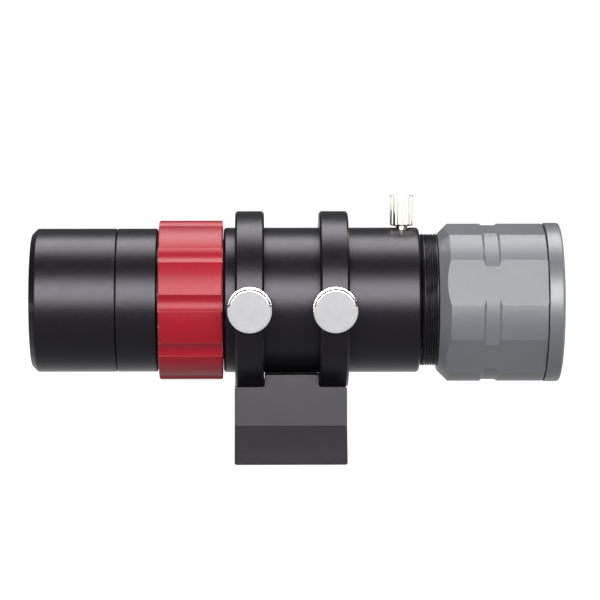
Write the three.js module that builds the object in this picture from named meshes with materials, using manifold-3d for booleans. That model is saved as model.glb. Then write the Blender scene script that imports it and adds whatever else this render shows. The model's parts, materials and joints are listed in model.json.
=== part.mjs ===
// Guide scope with a camera in its eyepiece socket, held by two rings on a dovetail base.
// Millimetres. The origin is the centre of the dovetail foot's underside. +X runs along the optical
// axis towards the camera, the clamp screws stand out towards -Y, and +Z is up.

import * as THREE from 'three';
import { mergeVertices } from 'three/addons/utils/BufferGeometryUtils.js';
import Module from 'manifold-3d';

const wasm = await Module();
wasm.setup();

// ---------- Driving dimensions ----------

const AXIS_HEIGHT = 50.4; // optical axis above the foot's underside
const GAP = 0.3; // clearance between neighbouring pieces
const LARGE = 40; // facets round a large turned piece
const MEDIUM = 24;
const SMALL = 12;
const TINY = 8;
const REACH = 100; // length of a tool that only has to pass right through

// Dovetail base
const BASE_LENGTH = 35.5;
const BLOCK_HALF_WIDTH = 10.75; // at the neck
const BLOCK_TOP_HALF_WIDTH = 9.75;
const FOOT_HALF_WIDTH = 16.5;
const FOOT_LAND = 1.2;
const NECK_HEIGHT = 11.6;
const SHOULDER_HEIGHT = 23.75;
const TAB_HEIGHT = 27.6;
const TAB_CENTRE = 0.275;
const TAB_HALF_LENGTH = 8.475;
const CORNER_ROUND = 0.9; // outside corners of the shoulders and the tab
const TAB_ROOT_FILLET = 0.8;

// Mounting rings and what holds them
const RING_CENTRES = { front: -12.95, rear: 13.5 };
const RING_WIDTH = 9.1;
const RING_OUTER_R = 28.2;
const RING_BORE_R = 23.3;
const RING_CHAMFER = 0.65;
const BOLT_R = 1.5;
const BOLT_HEAD_R = 2.75;
const BOLT_HEAD_HEIGHT = 3.0;
const BOLT_SEAT_HEIGHT = 14.3;
const BOLT_TIP_HEIGHT = 26.1;

// Clamp screws, on radii of the optical axis
const SCREW_R = 2.0;
const SCREW_HOLE_R = 2.3;
const TIP_R = 1.9;
const TIP_LENGTH = 1.45;
const CLAMP_HEAD_R = 6.85;
const CLAMP_FACE_R = 6.3;
const CLAMP_HEAD_START = 28.9;
const CLAMP_HEAD_END = 34.9;
const CLAMP_TIP_START = 23.25;

// Main tube
const TUBE_FRONT = -21.1;
const TUBE_REAR = 40.5;
const TUBE_R = 22.95;
const TUBE_CHAMFER = 0.6;
const FOCUS_BORE_R = 19.6;
const FOCUS_BORE_END = 10.2;
const SOCKET_R = 16.15;
const BAFFLE_FRONT = 8.6;
const BAFFLE_REAR = 9.9;
const BAFFLE_HOLE_R = 11.5;

// Thumbscrew of the eyepiece socket
const THUMB_X = 35.15;
const THUMB_HEAD_R = 3.9;
const THUMB_HEAD_START = 23.7;
const THUMB_HEAD_END = 33.3;
const THUMB_TIP_START = 16.2;
const SPOT_FACE_R = 4.0;
const SPOT_FACE_HEIGHT = 22.35;

// Objective barrel
const BARREL_R = 22.7;
const SHIELD_FRONT = -81.7;
const SHIELD_REAR = -54.9;
const SHIELD_BORE_R = 19.6;
const SHIELD_CHAMFER = 1.8;
const CELL_FRONT = -54.6;
const CELL_REAR = -42.0;
const SPIGOT_FRONT = -59.3;
const DRAW_TUBE_R = 19.2;
const DRAW_TUBE_REAR = -1.8;
const DRAW_BORE_R = 17.4;
const LENS_SEAT_R = 16.3;
const LENS_STOP_R = 15.0;
const LENS_STOP_FRONT = -47.0;
const LENS_STOP_REAR = -45.6;

// Achromatic lens pair
const LENS_R = 16.0;
const CROWN_FRONT = { vertex: -56.8, radius: 74 };
const CROWN_REAR = { vertex: -50.8, radius: -55 };
const FLINT_FRONT = { vertex: -49.5, radius: -57 };
const FLINT_REAR = -47.4;
const LENS_SPACER = { front: -52.6, rear: -52.1, boreR: 15.2 };
const RETAINER = { front: -58.4, rear: -55.65, boreR: 14.9 };

// Lock ring
const LOCK_FRONT = -41.45;
const LOCK_REAR = -21.4;
const LOCK_R = 25.2;
const LOCK_BORE_R = 19.6;
const LOCK_CHAMFER = 0.3;
const FLUTE_COUNT = 10;
const FLUTE_START = THREE.MathUtils.degToRad(3.5);
const FLUTE_R = 5.5;
const FLUTE_FLOOR_R = 24.4;
const WASHER_R = 21.8;
const WASHER_THICKNESS = 0.6;

// Camera nosepiece and threaded adapter
const NOSE_FRONT = 13.2;
const NOSE_REAR = 40.8;
const NOSE_R = 15.87;
const NOSE_BORE_R = 14.2;
const NOSE_SPIGOT_R = 12.4;
const NOSE_SPIGOT_REAR = 45.5;
const NOSE_SPIGOT_BORE_R = 10.8;
const ADAPTER_FRONT = 41.1;
const ADAPTER_REAR = 46.0;
const ADAPTER_R = 21.0;
const ADAPTER_BORE_R = 12.7;
const ADAPTER_SPIGOT_R = 15.7;
const ADAPTER_SPIGOT_REAR = 48.6;

// Camera housing
const CAMERA_FRONT = 46.3;
const CAMERA_REAR = 79.9;
const CAMERA_R = 25.0;
const CAMERA_DROP = 0.8; // the housing's centre below the optical axis
const CAMERA_NOSE_R = 21.6;
const CAMERA_CAVITY_R = 21.3;
const CAMERA_WALL_REAR = 49.1;
const CAMERA_HOLE_R = 16.0;
const FLAT_COUNT = 6;
const FLAT_APOTHEM = 23.9;
const FLAT_START = THREE.MathUtils.degToRad(20.4);
const GROOVE = { front: 59.8, floorFront: 60.5, floorRear: 64.7, rear: 65.4, floorR: 24.46 };

// Camera rear cover
const COVER_FRONT = 80.2;
const COVER_REAR = 85.1;
const COVER_R = 25.2;
const COVER_ROUND = 0.9;
const COVER_SPIGOT_FRONT = 78.0;
const COVER_SPIGOT_R = 21.0;
const COVER_RECESS_R = 19.4;
const COVER_PLATE_FRONT = 82.3;

// Camera electronics
const BOARD_R = 20.6;
const BOARD_THICKNESS = 1.6;
const SENSOR_BOARD_FRONT = 57.0;
const MAIN_BOARD_FRONT = 72.0;
const SENSOR = { front: 55.9, rear: 56.7, width: 9.0, height: 7.0 };
const HOLDER = { front: 50.8, rear: 56.7, outerR: 13.0, boreR: 8.0, recessR: 10.8, recessRear: 52.0 };
const WINDOW = { front: 50.6, rear: 51.7, radius: 10.5 };
const STANDOFF_COUNT = 4;
const STANDOFF_PITCH_R = 18.3;
const STANDOFF_R = 2.2;
const STANDOFF_FRONT = 49.4;
const STANDOFF_REAR = 82.0;
const COVER_SCREW_R = 1.25;
const COVER_SCREW_HOLE_R = 1.55;
const COVER_SCREW_HEAD_R = 2.3;
const COVER_SCREW_HEAD_FRONT = 84.1;
const COVER_SCREW_HEAD_REAR = 85.0;
const COVER_SCREW_TIP = 77.3;

// Sockets in the rear cover: width is along Y, height along Z
const PORT_FRONT = 74.2;
const PORT_REAR = 84.8;
const USB_PORT = { centreY: -8.6, width: 12.0, height: 10.9, wall: 1.7, tongueWidth: 5.6, tongueHeight: 3.2 };
const GUIDE_PORT = { centreY: 8.6, width: 13.0, height: 11.6, openWidth: 9.7, openHeight: 6.8, openDepth: 9.2 };
const GUIDE_KEY = { width: 3.4, height: 1.4 };
const PORT_FLOOR = 1.5;

// ---------- Materials ----------

function finish(color, roughness, metalness) {
  return new THREE.MeshStandardMaterial({ color, roughness, metalness });
}

const BLACK_ANODISED = finish(0x1b1a1d, 0.4, 0.6);
const RED_ANODISED = finish(0xb41c2c, 0.32, 0.8);
const GREY_ANODISED = finish(0x7d8085, 0.38, 0.8);
const NICKEL = finish(0xd9d7cf, 0.22, 1.0);
const TURNED_STEEL = finish(0xc8c8ca, 0.35, 1.0);
const BLACK_STEEL = finish(0x232325, 0.45, 0.7);
const BRASS = finish(0xc9a85c, 0.3, 1.0);
const NYLON = finish(0xe8e5da, 0.55, 0.0);
const BLACK_PLASTIC = finish(0x17171a, 0.55, 0.0);
const CIRCUIT_BOARD = finish(0x1c5a3a, 0.5, 0.0);
const SILICON = finish(0x2b2f3c, 0.2, 0.3);
const OPTICAL_GLASS = finish(0xcfe6e0, 0.05, 0.0);

// ---------- Shapes ----------

// Makes a manifold solid of a closed three.js geometry, with its faces pointing out.
function solid(geometry) {
  const bare = geometry.clone();
  bare.deleteAttribute('normal');
  bare.deleteAttribute('uv');
  const merged = mergeVertices(bare, 1e-4);
  const corners = merged.attributes.position.array;
  const index = merged.index.array;
  const triangles = [];
  const a = new THREE.Vector3();
  const b = new THREE.Vector3();
  const c = new THREE.Vector3();
  let volume = 0;
  for (let i = 0; i < index.length; i += 3) {
    const [p, q, r] = [index[i], index[i + 1], index[i + 2]];
    if (p === q || q === r || r === p) continue;
    triangles.push([p, q, r]);
    a.fromArray(corners, 3 * p);
    b.fromArray(corners, 3 * q);
    c.fromArray(corners, 3 * r);
    volume += a.dot(b.cross(c));
  }
  const outward = volume > 0 ? triangles : triangles.map(([p, q, r]) => [p, r, q]);
  const vertProperties = Float32Array.from(corners);
  const triVerts = Uint32Array.from(outward.flat());
  return new wasm.Manifold(new wasm.Mesh({ numProp: 3, vertProperties, triVerts }));
}

function geometryOf(manifold) {
  const mesh = manifold.getMesh();
  const geometry = new THREE.BufferGeometry();
  geometry.setAttribute('position', new THREE.BufferAttribute(mesh.vertProperties, 3));
  geometry.setIndex(new THREE.BufferAttribute(mesh.triVerts, 1));
  geometry.computeVertexNormals();
  return geometry;
}

function cut(body, ...tools) {
  const remaining = tools.reduce((rest, tool) => rest.subtract(solid(tool)), solid(body));
  return geometryOf(remaining);
}

function join(first, ...others) {
  const whole = others.reduce((sum, other) => sum.add(solid(other)), solid(first));
  return geometryOf(whole);
}

function common(first, second) {
  return geometryOf(solid(first).intersect(solid(second)));
}

// Turned about X. Profile points are [x, radius]; a profile that doesn't start on the axis is a loop.
function turned(profile, facets = LARGE) {
  const points = profile.map(([x, radius]) => new THREE.Vector2(radius, x));
  if (profile[0][1] > 0) points.push(points[0].clone());
  return new THREE.LatheGeometry(points, facets).rotateZ(-Math.PI / 2);
}

function rod(front, rear, radius, facets = SMALL) {
  return turned([[front, 0], [front, radius], [rear, radius], [rear, 0]], facets);
}

function sleeve(front, rear, outerR, boreR, facets = LARGE) {
  return turned([[front, boreR], [front, outerR], [rear, outerR], [rear, boreR]], facets);
}

function box(front, rear, y, z, width, height) {
  return new THREE.BoxGeometry(rear - front, width, height).translate((front + rear) / 2, y, z);
}

// A point on a circle round the optical axis: angle 0 is -Y and a quarter turn is +Z.
function radial(angle, radius = 1) {
  return new THREE.Vector3(0, -Math.cos(angle) * radius, Math.sin(angle) * radius);
}

// Turns a geometry made along +X to stand along a direction, with its origin moved to a point.
function standing(geometry, direction, x) {
  const turn = new THREE.Quaternion().setFromUnitVectors(new THREE.Vector3(1, 0, 0), direction);
  return geometry.applyQuaternion(turn).translate(x, 0, 0);
}

function outlineOf(corners) {
  return new THREE.Shape(corners.map(([u, v]) => new THREE.Vector2(u, v)));
}

// An outline in [y, z], extruded along X and centred on x = 0.
function extrudedAlongX(outline, length) {
  const geometry = new THREE.ExtrudeGeometry(outline, { depth: length, bevelEnabled: false });
  const turn = new THREE.Matrix4().set(0, 0, 1, -length / 2, 1, 0, 0, 0, 0, 1, 0, 0, 0, 0, 0, 1);
  return geometry.applyMatrix4(turn);
}

// An outline in [x, z], extruded along Y and centred on y = 0.
function extrudedAlongY(outline, width) {
  const settings = { depth: width, bevelEnabled: false, curveSegments: 3 };
  return new THREE.ExtrudeGeometry(outline, settings).translate(0, 0, -width / 2).rotateX(Math.PI / 2);
}

// ---------- Assembly ----------

const scope = new THREE.Group();
const optics = new THREE.Group();
const housing = new THREE.Group();
optics.position.z = AXIS_HEIGHT;
housing.position.z = AXIS_HEIGHT - CAMERA_DROP;
scope.add(optics, housing);

function addPiece(parent, name, geometry, material) {
  const mesh = new THREE.Mesh(geometryOf(solid(geometry)), material.clone());
  mesh.name = name;
  parent.add(mesh);
}

// ---------- Base and rings ----------

function baseSection() {
  return outlineOf([
    [-FOOT_HALF_WIDTH, 0],
    [FOOT_HALF_WIDTH, 0],
    [FOOT_HALF_WIDTH, FOOT_LAND],
    [BLOCK_HALF_WIDTH, NECK_HEIGHT],
    [BLOCK_TOP_HALF_WIDTH, TAB_HEIGHT],
    [-BLOCK_TOP_HALF_WIDTH, TAB_HEIGHT],
    [-BLOCK_HALF_WIDTH, NECK_HEIGHT],
    [-FOOT_HALF_WIDTH, FOOT_LAND],
  ]);
}

// Side outline: two shoulders for the rings with a tab between them.
function baseSide() {
  const half = BASE_LENGTH / 2;
  const tabFront = TAB_CENTRE - TAB_HALF_LENGTH;
  const tabRear = TAB_CENTRE + TAB_HALF_LENGTH;
  const shoulderRound = SHOULDER_HEIGHT - CORNER_ROUND;
  const tabRound = TAB_HEIGHT - CORNER_ROUND;
  const root = SHOULDER_HEIGHT + TAB_ROOT_FILLET;
  const quarter = Math.PI / 2;
  const outline = new THREE.Shape();
  outline.moveTo(-half, 0);
  outline.lineTo(half, 0);
  outline.lineTo(half, shoulderRound);
  outline.absarc(half - CORNER_ROUND, shoulderRound, CORNER_ROUND, 0, quarter, false);
  outline.absarc(tabRear + TAB_ROOT_FILLET, root, TAB_ROOT_FILLET, -quarter, -Math.PI, true);
  outline.absarc(tabRear - CORNER_ROUND, tabRound, CORNER_ROUND, 0, quarter, false);
  outline.absarc(tabFront + CORNER_ROUND, tabRound, CORNER_ROUND, quarter, Math.PI, false);
  outline.absarc(tabFront - TAB_ROOT_FILLET, root, TAB_ROOT_FILLET, 0, -quarter, true);
  outline.absarc(CORNER_ROUND - half, shoulderRound, CORNER_ROUND, quarter, Math.PI, false);
  return outline;
}

// The tab's top is bored in line with the rings, which leaves a shallow saddle under the tube.
function saddle() {
  return rod(-BASE_LENGTH, BASE_LENGTH, RING_BORE_R, LARGE).translate(0, 0, AXIS_HEIGHT);
}

const UP = new THREE.Vector3(0, 0, 1);

function boltHole(x) {
  const holeR = BOLT_R + GAP;
  const seatR = BOLT_HEAD_R + GAP;
  const profile = [[-1, 0], [-1, seatR], [BOLT_SEAT_HEIGHT, seatR]];
  profile.push([BOLT_SEAT_HEIGHT, holeR], [REACH, holeR], [REACH, 0]);
  return standing(turned(profile, SMALL), UP, x);
}

function ringBolt(x) {
  const headTop = BOLT_SEAT_HEIGHT - GAP;
  const headBottom = headTop - BOLT_HEAD_HEIGHT;
  const socketR = 1.45;
  const socketTop = headBottom + 1.5;
  const profile = [[socketTop, 0], [socketTop, socketR], [headBottom, socketR], [headBottom, BOLT_HEAD_R]];
  profile.push([headTop, BOLT_HEAD_R], [headTop, BOLT_R], [BOLT_TIP_HEIGHT, BOLT_R], [BOLT_TIP_HEIGHT, 0]);
  return standing(turned(profile, SMALL), UP, x);
}

const CLAMP_DIRECTION = radial(0);

function mountingRing(x) {
  const front = x - RING_WIDTH / 2;
  const rear = x + RING_WIDTH / 2;
  const bevelR = RING_OUTER_R - RING_CHAMFER;
  const body = turned([
    [front, RING_BORE_R],
    [front, bevelR],
    [front + RING_CHAMFER, RING_OUTER_R],
    [rear - RING_CHAMFER, RING_OUTER_R],
    [rear, bevelR],
    [rear, RING_BORE_R],
  ]);
  const seat = SHOULDER_HEIGHT + GAP - AXIS_HEIGHT;
  const belowSeat = box(front - 1, rear + 1, 0, seat - 5, 2 * RING_OUTER_R, 10);
  const clampHole = standing(rod(RING_BORE_R - 2, RING_OUTER_R + 2, SCREW_HOLE_R), CLAMP_DIRECTION, x);
  const boltEnd = BOLT_TIP_HEIGHT + GAP - AXIS_HEIGHT;
  const tappedHole = standing(rod(seat - 2, boltEnd, BOLT_R + GAP), UP, x);
  return cut(body, belowSeat, clampHole, tappedHole);
}

const base = common(extrudedAlongX(baseSection(), BASE_LENGTH), extrudedAlongY(baseSide(), REACH));
const baseHoles = Object.values(RING_CENTRES).map(boltHole);
addPiece(scope, 'dovetail_base', cut(base, saddle(), ...baseHoles), BLACK_ANODISED);

// ---------- Screws with a plastic tip ----------

function clampScrew(x) {
  const shankStart = CLAMP_TIP_START + TIP_LENGTH + GAP;
  const bevel = CLAMP_HEAD_R - CLAMP_FACE_R;
  const profile = [[shankStart, 0], [shankStart, SCREW_R], [CLAMP_HEAD_START, SCREW_R]];
  profile.push([CLAMP_HEAD_START, CLAMP_FACE_R], [CLAMP_HEAD_START + bevel, CLAMP_HEAD_R]);
  profile.push([CLAMP_HEAD_END - bevel, CLAMP_HEAD_R], [CLAMP_HEAD_END, CLAMP_FACE_R], [CLAMP_HEAD_END, 0]);
  return standing(turned(profile, MEDIUM), CLAMP_DIRECTION, x);
}

function socketScrew() {
  const shankStart = THUMB_TIP_START + TIP_LENGTH + GAP;
  const profile = [[shankStart, 0], [shankStart, SCREW_R], [THUMB_HEAD_START, SCREW_R]];
  profile.push([THUMB_HEAD_START, THUMB_HEAD_R], [THUMB_HEAD_END, THUMB_HEAD_R], [THUMB_HEAD_END, 0]);
  return standing(turned(profile, MEDIUM), UP, THUMB_X);
}

for (const [end, x] of Object.entries(RING_CENTRES)) {
  const tip = rod(CLAMP_TIP_START, CLAMP_TIP_START + TIP_LENGTH, TIP_R);
  addPiece(optics, `${end}_ring`, mountingRing(x), BLACK_ANODISED);
  addPiece(scope, `${end}_ring_bolt`, ringBolt(x), BLACK_STEEL);
  addPiece(optics, `${end}_clamp_tip`, standing(tip, CLAMP_DIRECTION, x), NYLON);
  addPiece(optics, `${end}_clamp_screw`, clampScrew(x), TURNED_STEEL);
}

const socketTip = rod(THUMB_TIP_START, THUMB_TIP_START + TIP_LENGTH, TIP_R);
addPiece(optics, 'socket_screw_tip', standing(socketTip, UP, THUMB_X), NYLON);
addPiece(optics, 'socket_screw', socketScrew(), NICKEL);

// ---------- Main tube ----------

function mainTube() {
  const bevelR = TUBE_R - TUBE_CHAMFER;
  const body = turned([
    [TUBE_FRONT, FOCUS_BORE_R],
    [TUBE_FRONT, bevelR],
    [TUBE_FRONT + TUBE_CHAMFER, TUBE_R],
    [TUBE_REAR - TUBE_CHAMFER, TUBE_R],
    [TUBE_REAR, bevelR],
    [TUBE_REAR, SOCKET_R],
    [FOCUS_BORE_END, SOCKET_R],
    [FOCUS_BORE_END, FOCUS_BORE_R],
  ]);
  const screwHole = standing(rod(SOCKET_R - 4, TUBE_R + 2, SCREW_HOLE_R), UP, THUMB_X);
  const spotFace = standing(rod(SPOT_FACE_HEIGHT, TUBE_R + 2, SPOT_FACE_R, MEDIUM), UP, THUMB_X);
  return cut(body, screwHole, spotFace);
}

function fieldBaffle() {
  const rimR = FOCUS_BORE_R - GAP;
  const edge = 0.3;
  return turned([
    [BAFFLE_FRONT, rimR],
    [BAFFLE_REAR, rimR],
    [BAFFLE_REAR, BAFFLE_HOLE_R],
    [BAFFLE_REAR - edge, BAFFLE_HOLE_R],
    [BAFFLE_FRONT, BAFFLE_HOLE_R + 2],
  ], MEDIUM);
}

addPiece(optics, 'main_tube', mainTube(), BLACK_ANODISED);
addPiece(optics, 'field_baffle', fieldBaffle(), BLACK_PLASTIC);

// ---------- Lock ring ----------

function lockRing() {
  const bevelR = LOCK_R - LOCK_CHAMFER;
  const recessFront = LOCK_REAR - WASHER_THICKNESS - GAP;
  const recessR = WASHER_R + GAP;
  const body = turned([
    [LOCK_FRONT, LOCK_BORE_R],
    [LOCK_FRONT, bevelR],
    [LOCK_FRONT + LOCK_CHAMFER, LOCK_R],
    [LOCK_REAR - LOCK_CHAMFER, LOCK_R],
    [LOCK_REAR, bevelR],
    [LOCK_REAR, recessR],
    [recessFront, recessR],
    [recessFront, LOCK_BORE_R],
  ]);
  const flutes = [];
  for (let i = 0; i < FLUTE_COUNT; i += 1) {
    const centre = radial(FLUTE_START + (i * 2 * Math.PI) / FLUTE_COUNT, FLUTE_FLOOR_R + FLUTE_R);
    const tool = rod(LOCK_FRONT - 1, LOCK_REAR + 1, FLUTE_R, LARGE);
    flutes.push(tool.translate(0, centre.y, centre.z));
  }
  return cut(body, ...flutes);
}

const washer = sleeve(LOCK_REAR - WASHER_THICKNESS, LOCK_REAR, WASHER_R, LOCK_BORE_R, MEDIUM);
addPiece(optics, 'lock_ring', lockRing(), RED_ANODISED);
addPiece(optics, 'lock_washer', washer, NYLON);

// ---------- Objective barrel ----------

function dewShield() {
  const lip = 0.5;
  return turned([
    [SHIELD_FRONT, SHIELD_BORE_R + lip],
    [SHIELD_FRONT, BARREL_R - SHIELD_CHAMFER],
    [SHIELD_FRONT + SHIELD_CHAMFER, BARREL_R],
    [SHIELD_REAR, BARREL_R],
    [SHIELD_REAR, SHIELD_BORE_R],
    [SHIELD_FRONT + lip, SHIELD_BORE_R],
  ]);
}

function lensCell() {
  return turned([
    [SPIGOT_FRONT, LENS_SEAT_R],
    [SPIGOT_FRONT, DRAW_TUBE_R],
    [CELL_FRONT, DRAW_TUBE_R],
    [CELL_FRONT, BARREL_R],
    [CELL_REAR, BARREL_R],
    [CELL_REAR, DRAW_TUBE_R],
    [DRAW_TUBE_REAR, DRAW_TUBE_R],
    [DRAW_TUBE_REAR, DRAW_BORE_R],
    [LENS_STOP_REAR + 1, DRAW_BORE_R],
    [LENS_STOP_REAR, LENS_STOP_R],
    [LENS_STOP_FRONT, LENS_STOP_R],
    [LENS_STOP_FRONT, LENS_SEAT_R],
  ]);
}

// Points along a ground lens surface. A positive radius is convex towards the front.
function groundSurface({ vertex, radius }, outward) {
  const points = [];
  const steps = 5;
  for (let i = 0; i <= steps; i += 1) {
    const r = (LENS_R * (outward ? i : steps - i)) / steps;
    const sag = Math.abs(radius) - Math.sqrt(radius * radius - r * r);
    points.push([vertex + Math.sign(radius) * sag, r]);
  }
  return points;
}

const crown = [...groundSurface(CROWN_FRONT, true), ...groundSurface(CROWN_REAR, false)];
const flint = [...groundSurface(FLINT_FRONT, true), [FLINT_REAR, LENS_R], [FLINT_REAR, 0]];
const spacer = sleeve(LENS_SPACER.front, LENS_SPACER.rear, LENS_R, LENS_SPACER.boreR, MEDIUM);
const retainer = sleeve(RETAINER.front, RETAINER.rear, LENS_R, RETAINER.boreR, MEDIUM);
addPiece(optics, 'dew_shield', dewShield(), BLACK_ANODISED);
addPiece(optics, 'lens_cell', lensCell(), BLACK_ANODISED);
addPiece(optics, 'crown_lens', turned(crown, MEDIUM), OPTICAL_GLASS);
addPiece(optics, 'flint_lens', turned(flint, MEDIUM), OPTICAL_GLASS);
addPiece(optics, 'lens_spacer', spacer, BLACK_PLASTIC);
addPiece(optics, 'lens_retaining_ring', retainer, BLACK_ANODISED);

// ---------- Camera nosepiece, adapter and housing ----------

function nosepiece() {
  return turned([
    [NOSE_FRONT, NOSE_BORE_R],
    [NOSE_FRONT, NOSE_R],
    [NOSE_REAR, NOSE_R],
    [NOSE_REAR, NOSE_SPIGOT_R],
    [NOSE_SPIGOT_REAR, NOSE_SPIGOT_R],
    [NOSE_SPIGOT_REAR, NOSE_SPIGOT_BORE_R],
    [NOSE_REAR - 2, NOSE_SPIGOT_BORE_R],
    [NOSE_REAR - 2, NOSE_BORE_R],
  ]);
}

function threadAdapter() {
  return turned([
    [ADAPTER_FRONT, ADAPTER_BORE_R],
    [ADAPTER_FRONT, ADAPTER_R],
    [ADAPTER_REAR, ADAPTER_R],
    [ADAPTER_REAR, ADAPTER_SPIGOT_R],
    [ADAPTER_SPIGOT_REAR, ADAPTER_SPIGOT_R],
    [ADAPTER_SPIGOT_REAR, ADAPTER_BORE_R],
  ]);
}

// Turned outside with six milled flats, and a groove that is deeper than the flats only near their edges.
// The throat for the thread adapter stays on the optical axis.
function cameraBody() {
  const outside = turned([
    [CAMERA_FRONT, 0],
    [CAMERA_FRONT, CAMERA_NOSE_R],
    [CAMERA_FRONT + CAMERA_R - CAMERA_NOSE_R, CAMERA_R],
    [GROOVE.front, CAMERA_R],
    [GROOVE.floorFront, GROOVE.floorR],
    [GROOVE.floorRear, GROOVE.floorR],
    [GROOVE.rear, CAMERA_R],
    [CAMERA_REAR, CAMERA_R],
    [CAMERA_REAR, 0],
  ]);
  const cornerR = FLAT_APOTHEM / Math.cos(Math.PI / FLAT_COUNT);
  const corners = [];
  for (let i = 0; i < FLAT_COUNT; i += 1) {
    const corner = radial(FLAT_START + ((i + 0.5) * 2 * Math.PI) / FLAT_COUNT, cornerR);
    corners.push([corner.y, corner.z]);
  }
  const flats = extrudedAlongX(outlineOf(corners), 2 * REACH);
  const throat = rod(CAMERA_FRONT - 1, CAMERA_WALL_REAR + 1, CAMERA_HOLE_R, LARGE);
  const cavity = rod(CAMERA_WALL_REAR, CAMERA_REAR + 1, CAMERA_CAVITY_R, LARGE);
  return cut(common(outside, flats), throat.translate(0, 0, CAMERA_DROP), cavity);
}

const standoffAngles = Array.from({ length: STANDOFF_COUNT }, (_, i) => ((i + 0.5) * Math.PI) / 2);

// A piece made on the axis, moved out to one of the standoff positions.
function atStandoff(geometry, angle) {
  const place = radial(angle, STANDOFF_PITCH_R);
  return geometry.translate(0, place.y, place.z);
}

function rearCover() {
  const midRound = COVER_ROUND * (1 - Math.SQRT1_2);
  const body = turned([
    [COVER_PLATE_FRONT, 0],
    [COVER_PLATE_FRONT, COVER_RECESS_R],
    [COVER_SPIGOT_FRONT, COVER_RECESS_R],
    [COVER_SPIGOT_FRONT, COVER_SPIGOT_R],
    [COVER_FRONT, COVER_SPIGOT_R],
    [COVER_FRONT, COVER_R],
    [COVER_REAR - COVER_ROUND, COVER_R],
    [COVER_REAR - midRound, COVER_R - midRound],
    [COVER_REAR, COVER_R - COVER_ROUND],
    [COVER_REAR, 0],
  ]);
  const seatR = COVER_SCREW_HEAD_R + GAP;
  const seatFront = COVER_SCREW_HEAD_FRONT - GAP;
  const openings = standoffAngles.flatMap((angle) => [
    atStandoff(rod(COVER_SPIGOT_FRONT - 1, COVER_REAR + 1, COVER_SCREW_HOLE_R), angle),
    atStandoff(rod(seatFront, COVER_REAR + 1, seatR), angle),
    atStandoff(rod(COVER_SPIGOT_FRONT - 1, COVER_PLATE_FRONT, STANDOFF_R + GAP), angle),
  ]);
  for (const port of [USB_PORT, GUIDE_PORT]) {
    const width = port.width + 2 * GAP;
    const height = port.height + 2 * GAP;
    openings.push(box(COVER_PLATE_FRONT - 1, COVER_REAR + 1, port.centreY, 0, width, height));
  }
  return cut(body, ...openings);
}

addPiece(optics, 'camera_nosepiece', nosepiece(), BLACK_ANODISED);
addPiece(optics, 'thread_adapter', threadAdapter(), BLACK_ANODISED);
addPiece(housing, 'camera_body', cameraBody(), GREY_ANODISED);
addPiece(housing, 'rear_cover', rearCover(), GREY_ANODISED);

// ---------- Inside the camera ----------

function circuitBoard(front) {
  const rear = front + BOARD_THICKNESS;
  const holes = standoffAngles.map((angle) => {
    return atStandoff(rod(front - 1, rear + 1, STANDOFF_R + GAP), angle);
  });
  return cut(rod(front, rear, BOARD_R, MEDIUM), ...holes);
}

function sensorHolder() {
  return turned([
    [HOLDER.front, HOLDER.recessR],
    [HOLDER.front, HOLDER.outerR],
    [HOLDER.rear, HOLDER.outerR],
    [HOLDER.rear, HOLDER.boreR],
    [HOLDER.recessRear, HOLDER.boreR],
    [HOLDER.recessRear, HOLDER.recessR],
  ], MEDIUM);
}

function standoff() {
  const holeFront = COVER_SCREW_TIP - GAP;
  return turned([
    [STANDOFF_FRONT, 0],
    [STANDOFF_FRONT, STANDOFF_R],
    [STANDOFF_REAR, STANDOFF_R],
    [STANDOFF_REAR, COVER_SCREW_HOLE_R],
    [holeFront, COVER_SCREW_HOLE_R],
    [holeFront, 0],
  ], SMALL);
}

function coverScrew() {
  const socketR = 0.9;
  const socketFront = COVER_SCREW_HEAD_REAR - 0.6;
  return turned([
    [COVER_SCREW_TIP, 0],
    [COVER_SCREW_TIP, COVER_SCREW_R],
    [COVER_SCREW_HEAD_FRONT, COVER_SCREW_R],
    [COVER_SCREW_HEAD_FRONT, COVER_SCREW_HEAD_R],
    [COVER_SCREW_HEAD_REAR, COVER_SCREW_HEAD_R],
    [COVER_SCREW_HEAD_REAR, socketR],
    [socketFront, socketR],
    [socketFront, 0],
  ], TINY);
}

// A square socket with a tongue standing in its middle.
function usbPort() {
  const { centreY, width, height, wall, tongueWidth, tongueHeight } = USB_PORT;
  const floor = PORT_FRONT + PORT_FLOOR;
  const shell = box(PORT_FRONT, PORT_REAR, centreY, 0, width, height);
  const hollow = box(floor, PORT_REAR + 1, centreY, 0, width - 2 * wall, height - 2 * wall);
  const tongue = box(floor - 0.5, PORT_REAR - 1, centreY, 0, tongueWidth, tongueHeight);
  return join(cut(shell, hollow), tongue);
}

// A modular jack: a rectangular opening with a keyway for the plug's latch above it.
function guidePort() {
  const { centreY, width, height, openWidth, openHeight, openDepth } = GUIDE_PORT;
  const floor = PORT_REAR - openDepth;
  const keyZ = (openHeight + GUIDE_KEY.height) / 2 - 0.1;
  const body = box(PORT_FRONT, PORT_REAR, centreY, 0, width, height);
  const mouth = box(floor, PORT_REAR + 1, centreY, 0, openWidth, openHeight);
  const keyway = box(floor, PORT_REAR + 1, centreY, keyZ, GUIDE_KEY.width, GUIDE_KEY.height + 0.2);
  return cut(body, mouth, keyway);
}

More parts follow.
